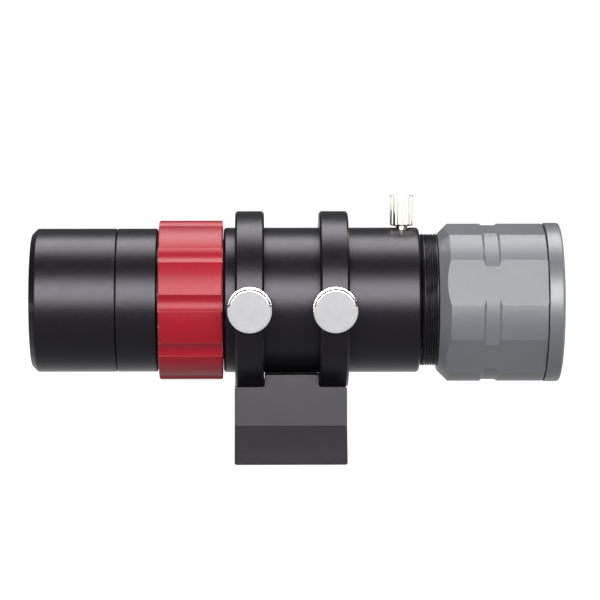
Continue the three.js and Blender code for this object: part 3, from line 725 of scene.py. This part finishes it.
def dovetail_base():
    _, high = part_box("dovetail_base")
    half, top = high.x / MM, high.z / MM
    r, foot_r, root, root_z = 0.9, 0.7, TAB_ROOT_R, SHOULDER_Z + TAB_ROOT_R
    quarter = math.pi / 2
    side = arc_corner(half - foot_r, foot_r, foot_r, -quarter)
    side += arc_corner(half - r, SHOULDER_Z - r, r, 0.0)
    side += arc_corner(TAB[1] + root, root_z, root, -quarter, -quarter)
    side += arc_corner(TAB[1] - r, top - r, r, 0.0)
    side += arc_corner(TAB[0] + r, top - r, r, quarter)
    side += arc_corner(TAB[0] - root, root_z, root, 0.0, -quarter)
    side += arc_corner(r - half, SHOULDER_Z - r, r, quarter)
    side += arc_corner(foot_r - half, foot_r, foot_r, math.pi)
    wide, foot = BLOCK_HALF_WIDTH, FOOT_HALF_WIDTH
    section = [(foot, 0.0), (foot, FOOT_LAND), (wide, NECK_Z), (BLOCK_TOP_HALF_WIDTH, top)]
    section += [(-y, z) for y, z in reversed(section)]
    base = carve(prism(section, "X", half + 1.0), prism(side, "Y", foot + 1.0), operation="INTERSECT")
    base.name = "dovetail_base_block"
    seat_z, seat_r = BOLT_SEAT
    tools = []
    for clamp in ("front_clamp_turn", "rear_clamp_turn"):
        profile = [(-1, 0.0), (-1, seat_r), (seat_z, seat_r)]
        profile += [(seat_z, BOLT_HOLE_R), (40, BOLT_HOLE_R), (40, 0.0)]
        tool = make_mesh("tool", *revolve(profile, 48))
        bolt_x = joint(clamp)["pos_m"][0] / MM
        upright_place = Matrix.Translation((0, 0, -AXIS_Z * MM)) @ along((0, 0, 1), bolt_x)
        tool.data.transform(upright_place)
        tools.append(tool)
    saddle = rod_tool(-half - 5, half + 5, RING_BORE_R, 240)
    saddle.data.transform(ON_AXIS)
    base = carve(base, saddle, *tools)
    base.data.materials.clear()
    for material in (BLACK_CAST, BLACK_EDGE_HIGHLIGHT):
        base.data.materials.append(material)
    for face in base.data.polygons:
        face.material_index = 0
    # The bevel faces take the paler material, a painted highlight along the base's edges.
    bevel(base, 0.4, 6, edge_slot=1)
    highlight_faces = [face.index for face in base.data.polygons if face.material_index == 1]
    finish_piece(base, BLACK_CAST, "dovetail_base", Matrix.Identity(4), sharp=20)
    second_material(base, BLACK_EDGE_HIGHLIGHT, highlight_faces)
    keep_flats_flat(base)


# ---------- Screws ----------

def clamp_screw(node, clamp_joint):
    start, end, outer = CLAMP_HEAD
    shank = 24.9
    rows = thread_rows(shank + 0.3, start - 0.4, SCREW_R, SCREW_PITCH, 8)
    profile = [(shank, 0.0), (shank, SCREW_R - 0.4)] + rows
    profile += rounded([
        (start, SCREW_R),
        (start, outer - 0.5, 0.15),
        (start + 0.5, outer, 0.1),
        (end - 0.5, outer, 0.05),
        (end, outer - 0.6, 0.08),
        (end, 0.0),
    ], closed=False)
    turns = thread(SCREW_PITCH, 0.3, shank + 0.3, start - 0.4)
    knurl = knurled(64, 0.28, start + 0.5, end - 0.5)

    def shape(x, r, a):
        return knurl(x, r, a) if r > outer - 0.25 else turns(x, r, a) if r > SCREW_R - 0.1 else r
    screw = make_mesh(node + "_turned", *revolve(profile, 384, shape))
    info = joint(clamp_joint)
    finish_piece(screw, STEEL, node, along(info["axis"], info["pos_m"][0] / MM), sharp=28)


def socket_screw():
    start, end, outer = THUMB_HEAD
    shank = 18.0
    rows = thread_rows(shank + 0.3, start - 0.3, SCREW_R, SCREW_PITCH, 8)
    profile = [(shank, 0.0), (shank, SCREW_R - 0.4)] + rows
    profile += rounded([
        (start, SCREW_R),
        (start, outer - 0.5, 0.1),
        (start + 0.5, outer, 0.1),
        (end - 0.35, outer, 0.12),
        (end, outer - 0.45, 0.12),
        (end, 1.9, 0.1),
        (end - 0.3, 1.6, 0.1),
        (end - 0.3, 0.0),
    ], closed=False)
    turns = thread(SCREW_PITCH, 0.3, shank + 0.3, start - 0.3)
    flutes = fluted(16, math.radians(2.3), 0.5, outer - 0.32, 0.06)

    def shape(x, r, a):
        return flutes(x, r, a) if r > outer - 1.0 else turns(x, r, a) if abs(r - SCREW_R) < 0.05 else r
    screw = make_mesh("socket_screw_turned", *revolve(profile, 384, shape, math.radians(2.3)))
    info = joint("socket_turn")
    finish_piece(screw, NICKEL, "socket_screw", along((0, 0, 1), info["pos_m"][0] / MM), sharp=30)


def hex_socket(socket_r):
    """Turns the radius of a socket's wall into a hexagon's."""
    def radius(x, r, angle):
        if abs(r - socket_r) > 0.02:
            return r
        turn = (angle + math.pi / 6) % (math.pi / 3) - math.pi / 6
        return r * math.cos(math.pi / 6) / math.cos(turn)
    return radius


def cap_screw(name, node, tip, head, end, shank_r, head_r, socket_r, place):
    profile = rounded([
        (tip, 0.0),
        (tip, shank_r, 0.15),
        (head, shank_r),
        (head, head_r, 0.08),
        (end, head_r, 0.15),
        (end, socket_r),
        (end - 0.6 * (end - head), socket_r),
        (end - 0.6 * (end - head), 0.0),
    ], closed=False)
    screw = make_mesh(name, *revolve(profile, 48, hex_socket(socket_r)))
    finish_piece(screw, DARK_STEEL, node, place)


def ring_bolts():
    for end in ("front", "rear"):
        low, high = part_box(end + "_ring_bolt")
        x = (low.x + high.x) / 2 / MM
        down = along((0, 0, -1), x)
        head_bottom = AXIS_Z - low.z / MM
        head_top = head_bottom - 3.0
        tip = AXIS_Z - high.z / MM
        name, node = end + "_ring_bolt_turned", end + "_ring_bolt"
        cap_screw(name, node, tip, head_top, head_bottom, 1.5, 2.75, 1.45, down)


def cover_screws():
    for i in range(4):
        node = f"cover_screw_{i + 1}"
        low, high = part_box(node)
        middle = (low + high) / 2
        place = Matrix.Translation((0, middle.y, middle.z))
        name = f"cover_screw_{i + 1}_turned"
        cap_screw(name, node, low.x / MM, 84.1, high.x / MM, 1.25, 2.3, 0.95, place)


# ---------- Camera ----------

def nosepiece():
    front, rear, outer = extent("camera_nosepiece")
    shoulder, spigot, spigot_bore = NOSE_SPIGOT
    profile = rounded([
        (front, NOSE_BORE_R + 0.5, 0.1),
        (front, outer - 0.4, 0.1),
        (front + 0.4, outer, 0.1),
        (shoulder, outer, 0.2),
        (shoulder, spigot),
        (rear, spigot, 0.3),
        (rear, spigot_bore, 0.2),
        (shoulder - 2.0, spigot_bore, 0.2),
        (shoulder - 2.0, NOSE_BORE_R),
    ])
    inside = thread_rows(front + 0.5, front + 6.0, NOSE_BORE_R, 0.6, 8)
    profile += list(reversed(inside))
    turns = thread(0.6, -0.25, front + 0.5, front + 6.0)
    shape = lambda x, r, a: turns(x, r, a) if abs(r - NOSE_BORE_R) < 0.01 else r
    finish_piece(make_mesh("nosepiece_shell", *revolve(profile, 160, shape)), BLACK, "camera_nosepiece")


def thread_adapter():
    front, rear, outer = extent("thread_adapter")
    shoulder, spigot, bore = ADAPTER_SPIGOT
    low, high = front + 0.5, shoulder - 0.1
    turns = thread(ADAPTER_PITCH, 0.46, low, high)
    profile = rounded([(front, bore, 0.2), (front, outer - 0.35, 0.1), (front + 0.2, outer - 0.15, 0.1)])
    profile += thread_rows(low, high, outer, ADAPTER_PITCH, 12)
    profile += rounded([
        (shoulder, outer - 0.3),
        (shoulder, spigot),
        (rear, spigot, 0.2),
        (rear, bore, 0.2),
    ], closed=False)
    shape = lambda x, r, a: turns(x, r, a) if r > outer - 0.01 else r
    finish_piece(make_mesh("thread_adapter_turned", *revolve(profile, 200, shape)), BLACK, "thread_adapter")


def spaced(start, end, steps, margin=0.006):
    """Angles from start up to end, with one extra close to each so that the edge between is crisp."""
    inner = [start + margin + (end - start - 2 * margin) * i / (steps - 2) for i in range(steps - 1)]
    if end - start > 4 * margin:
        return [start] + inner
    return [start + (end - start) * i / steps for i in range(steps)]


def hexagonal_rows(rows, flat_steps=8, arc_steps=12):
    """Lofts rows of (x, r) round six flats, with vertices along each flat's own edge at every row."""
    vertices, faces = [], []
    sector = 2 * math.pi / FLAT_COUNT
    per_row = FLAT_COUNT * (flat_steps + arc_steps)
    for x, r in rows:
        half = math.acos(min(1.0, FLAT_APOTHEM / r)) if r > FLAT_APOTHEM else 0.0
        drop = CAMERA_DROP if abs(r - CAMERA_HOLE_R) < 0.01 else 0.0
        for k in range(FLAT_COUNT):
            centre = FLAT_START + k * sector
            for turn in spaced(-half, half, flat_steps):
                level = min(r, FLAT_APOTHEM / math.cos(turn))
                a = centre + turn
                vertices.append((x, -math.cos(a) * level, math.sin(a) * level + drop))
            for turn in spaced(half, sector - half, arc_steps):
                a = centre + turn
                vertices.append((x, -math.cos(a) * r, math.sin(a) * r + drop))
    for row in range(len(rows) - 1):
        for i in range(per_row):
            j = (i + 1) % per_row
            low, high = row * per_row, (row + 1) * per_row
            faces.append((low + i, low + j, high + j, high + i))
    return vertices, faces, per_row


def camera_body():
    front, rear, _ = extent("camera_body")
    cone_end = front + CAMERA_R - CAMERA_NOSE_R
    rows = rounded([
        (front, CAMERA_HOLE_R),
        (front, CAMERA_NOSE_R, 0.12),
        (cone_end, CAMERA_R, 0.1),
        (GROOVE[0], CAMERA_R, 0.08),
        (GROOVE[1], GROOVE_FLOOR_R, 0.1),
        (GROOVE[2], GROOVE_FLOOR_R, 0.1),
        (GROOVE[3], CAMERA_R, 0.08),
        (rear - 0.25, CAMERA_R, 0.06),
        (rear, CAMERA_R - 0.25, 0.06),
        (rear, CAMERA_CAVITY_R),
    ], closed=False)
    dense = []
    for (x0, r0), (x1, r1) in zip(rows, rows[1:]):
        steps = 24 if abs(r1 - r0) > 1.5 and x1 > x0 else 1
        dense += [(x0 + (x1 - x0) * i / steps, r0 + (r1 - r0) * i / steps) for i in range(steps)]
    dense.append(rows[-1])
    dense += [(CAMERA_WALL_REAR, CAMERA_CAVITY_R), (CAMERA_WALL_REAR, CAMERA_HOLE_R)]
    vertices, faces, per_row = hexagonal_rows(dense)
    last = (len(dense) - 1) * per_row
    for i in range(per_row):
        j = (i + 1) % per_row
        faces.append((last + i, last + j, j, i))
    body = make_mesh("camera_body_shell", vertices, faces)
    finish_piece(body, GREY, "camera_body", IN_CAMERA, sharp=12)
    keep_flats_flat(body)


def port_extent(node):
    low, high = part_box(node)
    middle = (low + high) / 2
    return low / MM, high / MM, middle.y / MM


def rear_cover():
    front, rear, outer = extent("rear_cover")
    plate, recess = COVER_RECESS
    profile = rounded([
        (plate, 0.0),
        (plate, recess),
        (front, recess, 0.1),
        (front, COVER_SPIGOT_R, 0.15),
        (COVER_FRONT, COVER_SPIGOT_R),
        (COVER_FRONT, outer - 0.15, 0.05),
        (COVER_FRONT + 0.15, outer, 0.08),
        (rear, outer, 1.25),
        (rear, 22.6, 0.05),
        (rear - 0.25, 22.35, 0.05),
        (rear - 0.25, 21.9, 0.05),
        (rear, 21.65, 0.05),
        (rear, 0.0),
    ], closed=False, steps=6)
    cover = make_mesh("rear_cover_turned", *revolve(profile, 240))
    tools = []
    for i in range(4):
        low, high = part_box(f"cover_screw_{i + 1}")
        y, z = (low.y + high.y) / 2 / MM, (low.z + high.z) / 2 / MM - CAMERA_Z
        for tool in (rod_tool(plate - 6, rear + 1, 1.55, 32),
                     rod_tool(COVER_SEAT_FRONT, rear + 1, COVER_SEAT_R, 48),
                     rod_tool(front - 1, plate, 2.5, 32)):
            tool.data.transform(Matrix.Translation((0, y * MM, z * MM)))
            tools.append(tool)
    for node in ("usb_port", "guide_port"):
        low, high, _ = port_extent(node)
        corner_low = (plate - 1, low.y - 0.3, low.z - CAMERA_Z - 0.3)
        corner_high = (rear + 1, high.y + 0.3, high.z - CAMERA_Z + 0.3)
        tools.append(block("tool", corner_low, corner_high))
    cover = carve(cover, *tools)
    finish_piece(cover, GREY_TURNED, "rear_cover", IN_CAMERA)
    keep_flats_flat(cover)


def ports():
    low, high, centre = port_extent("usb_port")
    wide, tall = USB_OPENING
    shell = block("usb_shell", tuple(low), tuple(high))
    inside = block("tool", (low.x + 1.5, centre - wide / 2, CAMERA_Z - tall / 2),
                   (high.x + 1, centre + wide / 2, CAMERA_Z + tall / 2))
    shell = bevel(carve(shell, inside), 0.25, 2)
    finish_piece(shell, STEEL, "usb_port", Matrix.Identity(4))
    tongue = block("usb_tongue", (low.x + 1.3, centre - 2.8, CAMERA_Z - 1.6),
                   (high.x - 1.0, centre + 2.8, CAMERA_Z + 1.6))
    finish_piece(bevel(tongue, 0.2, 2), NYLON, "usb_port", Matrix.Identity(4), replaces=False)
    contacts = []
    for side in (-1, 1):
        for row in (-1, 1):
            y = centre + side * 1.3
            z = CAMERA_Z + row * 1.63
            contacts.append(((low.x + 2.5, y - 0.5, z - 0.08), (high.x - 1.6, y + 0.5, z + 0.08)))
    strips("usb_contacts", contacts, "usb_port")
    low, high, centre = port_extent("guide_port")
    wide, tall, deep = GUIDE_OPENING
    body = block("guide_jack", tuple(low), tuple(high))
    mouth = block("tool", (high.x - deep, centre - wide / 2, CAMERA_Z - tall / 2),
                  (high.x + 1, centre + wide / 2, CAMERA_Z + tall / 2))
    key = block("tool", (high.x - deep, centre - GUIDE_KEY[0] / 2, CAMERA_Z + tall / 2 - 0.1),
                (high.x + 1, centre + GUIDE_KEY[0] / 2, CAMERA_Z + tall / 2 + GUIDE_KEY[1]))
    finish_piece(bevel(carve(body, mouth, key), 0.2, 2), BLACK_PLASTIC, "guide_port", Matrix.Identity(4))
    wires = []
    for i in range(6):
        y = centre + (i - 2.5) * 1.02
        z = CAMERA_Z - tall / 2 + 0.35
        wires.append(((high.x - deep + 0.4, y - 0.2, z - 0.15), (high.x - 1.4, y + 0.2, z + 0.15)))
    strips("guide_contacts", wires, "guide_port")


def strips(name, boxes, node):
    """Small contact strips, as one piece."""
    vertices, faces = [], []
    for low, high in boxes:
        part = block("strip", low, high)
        first = len(vertices)
        vertices += [tuple(c / MM for c in v.co) for v in part.data.vertices]
        faces += [[first + i for i in polygon.vertices] for polygon in part.data.polygons]
        bpy.data.objects.remove(part)
    obj = bevel(make_mesh(name, vertices, faces), 0.05, 2)
    finish_piece(obj, GOLD, node, Matrix.Identity(4), replaces=False)


# ---------- Pieces that keep their CAD shape ----------

KEPT = {
    "field_baffle": MATT_BLACK,
    "lock_washer": NYLON,
    "lens_spacer": MATT_BLACK,
    "front_clamp_tip": NYLON,
    "rear_clamp_tip": NYLON,
    "socket_screw_tip": NYLON,
    "sensor_window": GLASS,
    "sensor_holder": BLACK_PLASTIC,
    "image_sensor": SILICON,
    "sensor_board": BOARD,
    "main_board": BOARD,
    "standoff_1": BRASS,
    "standoff_2": BRASS,
    "standoff_3": BRASS,
    "standoff_4": BRASS,
}


def dress_kept_nodes():
    for node, material in KEPT.items():
        mesh = frame["nodes"][node].data
        mesh.materials.clear()
        mesh.materials.append(material)


# ---------- Stage, light and camera ----------

def stage_material():
    g = Graph("pale_paper", Roughness=0.9, Emission_Strength=0.97)
    g.shader.inputs["Specular IOR Level"].default_value = 0.0
    g.shader.inputs["Emission Color"].default_value = (1.0, 1.0, 1.0, 1.0)
    tone = g.noise(g.place, 40.0, 4.0)
    g.set("Base Color", g.blend(g.spread(tone, 0.0, 1.0), (0.036, 0.036, 0.0365), (0.038, 0.038, 0.0385)))
    return g.material


def studio():
    """A pale floor that curves up into a low wall all round."""
    radius, wall, bend = 2300.0, 280.0, 200.0
    profile = [(0.0, 0.0), (0.0, radius - bend)]
    for i in range(1, 13):
        a = math.pi / 2 * i / 12
        profile.append((bend - bend * math.cos(a), radius - bend + bend * math.sin(a)))
    profile.append((wall, radius))
    vertices, faces = revolve(profile, 96)
    floor = make_mesh("studio_floor", [(-y, z, x) for x, y, z in vertices], faces)
    for polygon in floor.data.polygons:
        polygon.use_smooth = True
    floor.data.materials.append(stage_material())


def softbox(name, place, aim, size, radiance):
    """An area light of a given radiance, facing a point. Places are in metres."""
    data = bpy.data.lights.new(name, "AREA")
    data.shape = "RECTANGLE"
    data.size, data.size_y = size
    data.energy = radiance * math.pi * size[0] * size[1]
    light = bpy.data.objects.new(name, data)
    bpy.context.scene.collection.objects.link(light)
    light.location = place
    light.rotation_euler = (Vector(aim) - Vector(place)).to_track_quat("-Z", "Y").to_euler()


VIEW_TILT = math.radians(5.7)


def toward_viewer(elevation, distance, side=0.0):
    """A point on the viewer's side of the axis, at an elevation above the line of sight, in metres."""
    a = math.radians(elevation) + VIEW_TILT
    return Vector((side, -math.cos(a) * distance, AXIS_Z * MM + math.sin(a) * distance))


def lights():
    axis = (0.0, 0.0, AXIS_Z * MM)
    softbox("key", toward_viewer(13.5, 1.6), axis, (1.8, 0.97), 33.0)
    softbox("overhead", toward_viewer(98, 1.5), axis, (1.8, 0.9), 17.5)
    world = bpy.data.worlds.new("soft_room")
    world.use_nodes = True
    background = world.node_tree.nodes["Background"]
    background.inputs["Color"].default_value = (0.9, 0.9, 0.92, 1.0)
    background.inputs["Strength"].default_value = 0.2
    bpy.context.scene.world = world


def camera():
    """Almost square to the optical axis and a little above it, as far away as a product camera stands."""
    data = bpy.data.cameras.new("view_camera")
    frame_width = 190.6
    data.sensor_width = 36.0
    place = toward_viewer(0, 0.95, -0.01122)
    aim = Vector((0.00302, 0.0, (AXIS_Z - 0.04) * MM))
    data.lens = data.sensor_width * (aim - place).length / (frame_width * MM)
    data.clip_start = 0.01
    obj = bpy.data.objects.new("view_camera", data)
    bpy.context.scene.collection.objects.link(obj)
    obj.location = place
    obj.rotation_euler = (aim - place).to_track_quat("-Z", "Y").to_euler()
    bpy.context.scene.camera = obj


camera()
lights()
studio()
dew_shield()
lens_cell()
lenses()
lock_ring()
main_tube()
mounting_ring("front_ring", "front_clamp_turn")
mounting_ring("rear_ring", "rear_clamp_turn")
dovetail_base()
clamp_screw("front_clamp_screw", "front_clamp_turn")
clamp_screw("rear_clamp_screw", "rear_clamp_turn")
socket_screw()
ring_bolts()
nosepiece()
thread_adapter()
camera_body()
rear_cover()
cover_screws()
ports()
dress_kept_nodes()
bpy.context.scene.view_settings.view_transform = "Standard"
